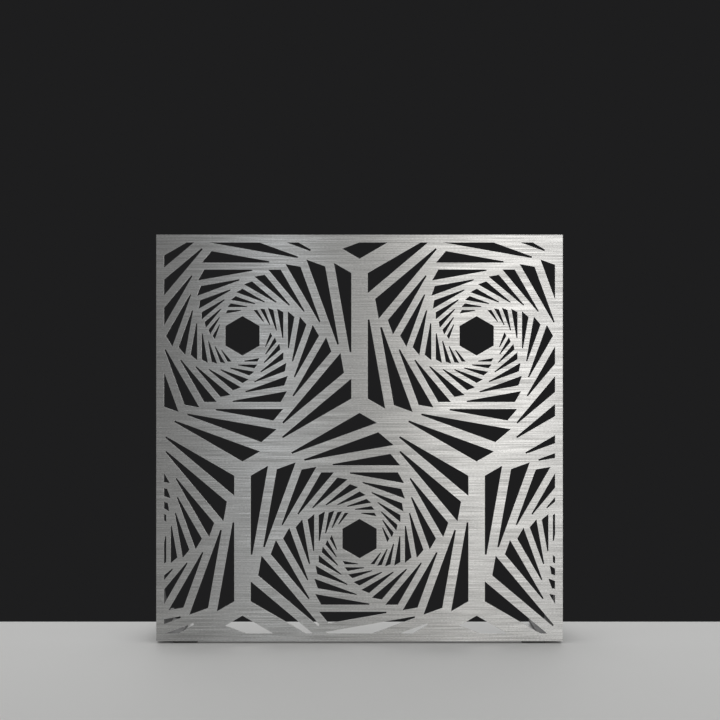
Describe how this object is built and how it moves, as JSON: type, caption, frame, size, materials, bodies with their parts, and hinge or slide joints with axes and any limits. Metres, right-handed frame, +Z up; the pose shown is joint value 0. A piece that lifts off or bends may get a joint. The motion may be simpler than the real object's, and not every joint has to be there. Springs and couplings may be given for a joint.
{
  "type": "laser cut metal screen",
  "caption": "Square free-standing screen of brushed stainless sheet cut with nested turning hexagons, on a folded-angle frame with rearward feet.",
  "frame": {"origin": "floor level under the middle of the whole screen's box, feet included", "axes": "+Z up, +X to the right seen from the front, +Y from the face sheet back towards the feet"},
  "size_m": [1, 0.3, 1.005],
  "materials": {
    "brushed_sheet": "stainless, brushed lengthwise across the sheet",
    "frame_angle": "stainless, mill finish with fine scratches",
    "fastener_steel": "stainless, bright",
    "black_coating": "black powder coat, fine texture",
    "pad_rubber": "matt rubber"
  },
  "bodies": {
    "root": {"face_sheet": "brushed_sheet", "frame_bottom_rail": "frame_angle", "frame_left_stile": "frame_angle", "frame_top_rail": "frame_angle", "frame_right_stile": "frame_angle", "corner_plate_bottom_left": "frame_angle", "corner_plate_top_left": "frame_angle", "corner_plate_top_right": "frame_angle", "corner_plate_bottom_right": "frame_angle", "weld_stud_bottom_1": "fastener_steel", "weld_stud_bottom_2": "fastener_steel", "weld_stud_bottom_3": "fastener_steel", "weld_stud_bottom_4": "fastener_steel", "weld_stud_left_1": "fastener_steel", "weld_stud_left_2": "fastener_steel", "weld_stud_left_3": "fastener_steel", "weld_stud_left_4": "fastener_steel", "weld_stud_top_1": "fastener_steel", "weld_stud_top_2": "fastener_steel", "weld_stud_top_3": "fastener_steel", "weld_stud_top_4": "fastener_steel", "weld_stud_right_1": "fastener_steel", "weld_stud_right_2": "fastener_steel", "weld_stud_right_3": "fastener_steel", "weld_stud_right_4": "fastener_steel", "flange_nut_bottom_1": "fastener_steel", "flange_nut_bottom_2": "fastener_steel", "flange_nut_bottom_3": "fastener_steel", "flange_nut_bottom_4": "fastener_steel", "flange_nut_left_1": "fastener_steel", "flange_nut_left_2": "fastener_steel", "flange_nut_left_3": "fastener_steel", "flange_nut_left_4": "fastener_steel", "flange_nut_top_1": "fastener_steel", "flange_nut_top_2": "fastener_steel", "flange_nut_top_3": "fastener_steel", "flange_nut_top_4": "fastener_steel", "flange_nut_right_1": "fastener_steel", "flange_nut_right_2": "fastener_steel", "flange_nut_right_3": "fastener_steel", "flange_nut_right_4": "fastener_steel", "foot_plate_left": "black_coating", "foot_plate_right": "black_coating", "foot_sole_left": "black_coating", "foot_sole_right": "black_coating", "foot_screw_left_1": "fastener_steel", "foot_screw_left_2": "fastener_steel", "foot_screw_left_3": "fastener_steel", "foot_screw_right_1": "fastener_steel", "foot_screw_right_2": "fastener_steel", "foot_screw_right_3": "fastener_steel", "sole_pad_left_front": "pad_rubber", "sole_pad_left_rear": "pad_rubber", "sole_pad_right_front": "pad_rubber", "sole_pad_right_rear": "pad_rubber", "front_pad_left": "pad_rubber", "front_pad_right": "pad_rubber"}
  },
  "joints": []
}
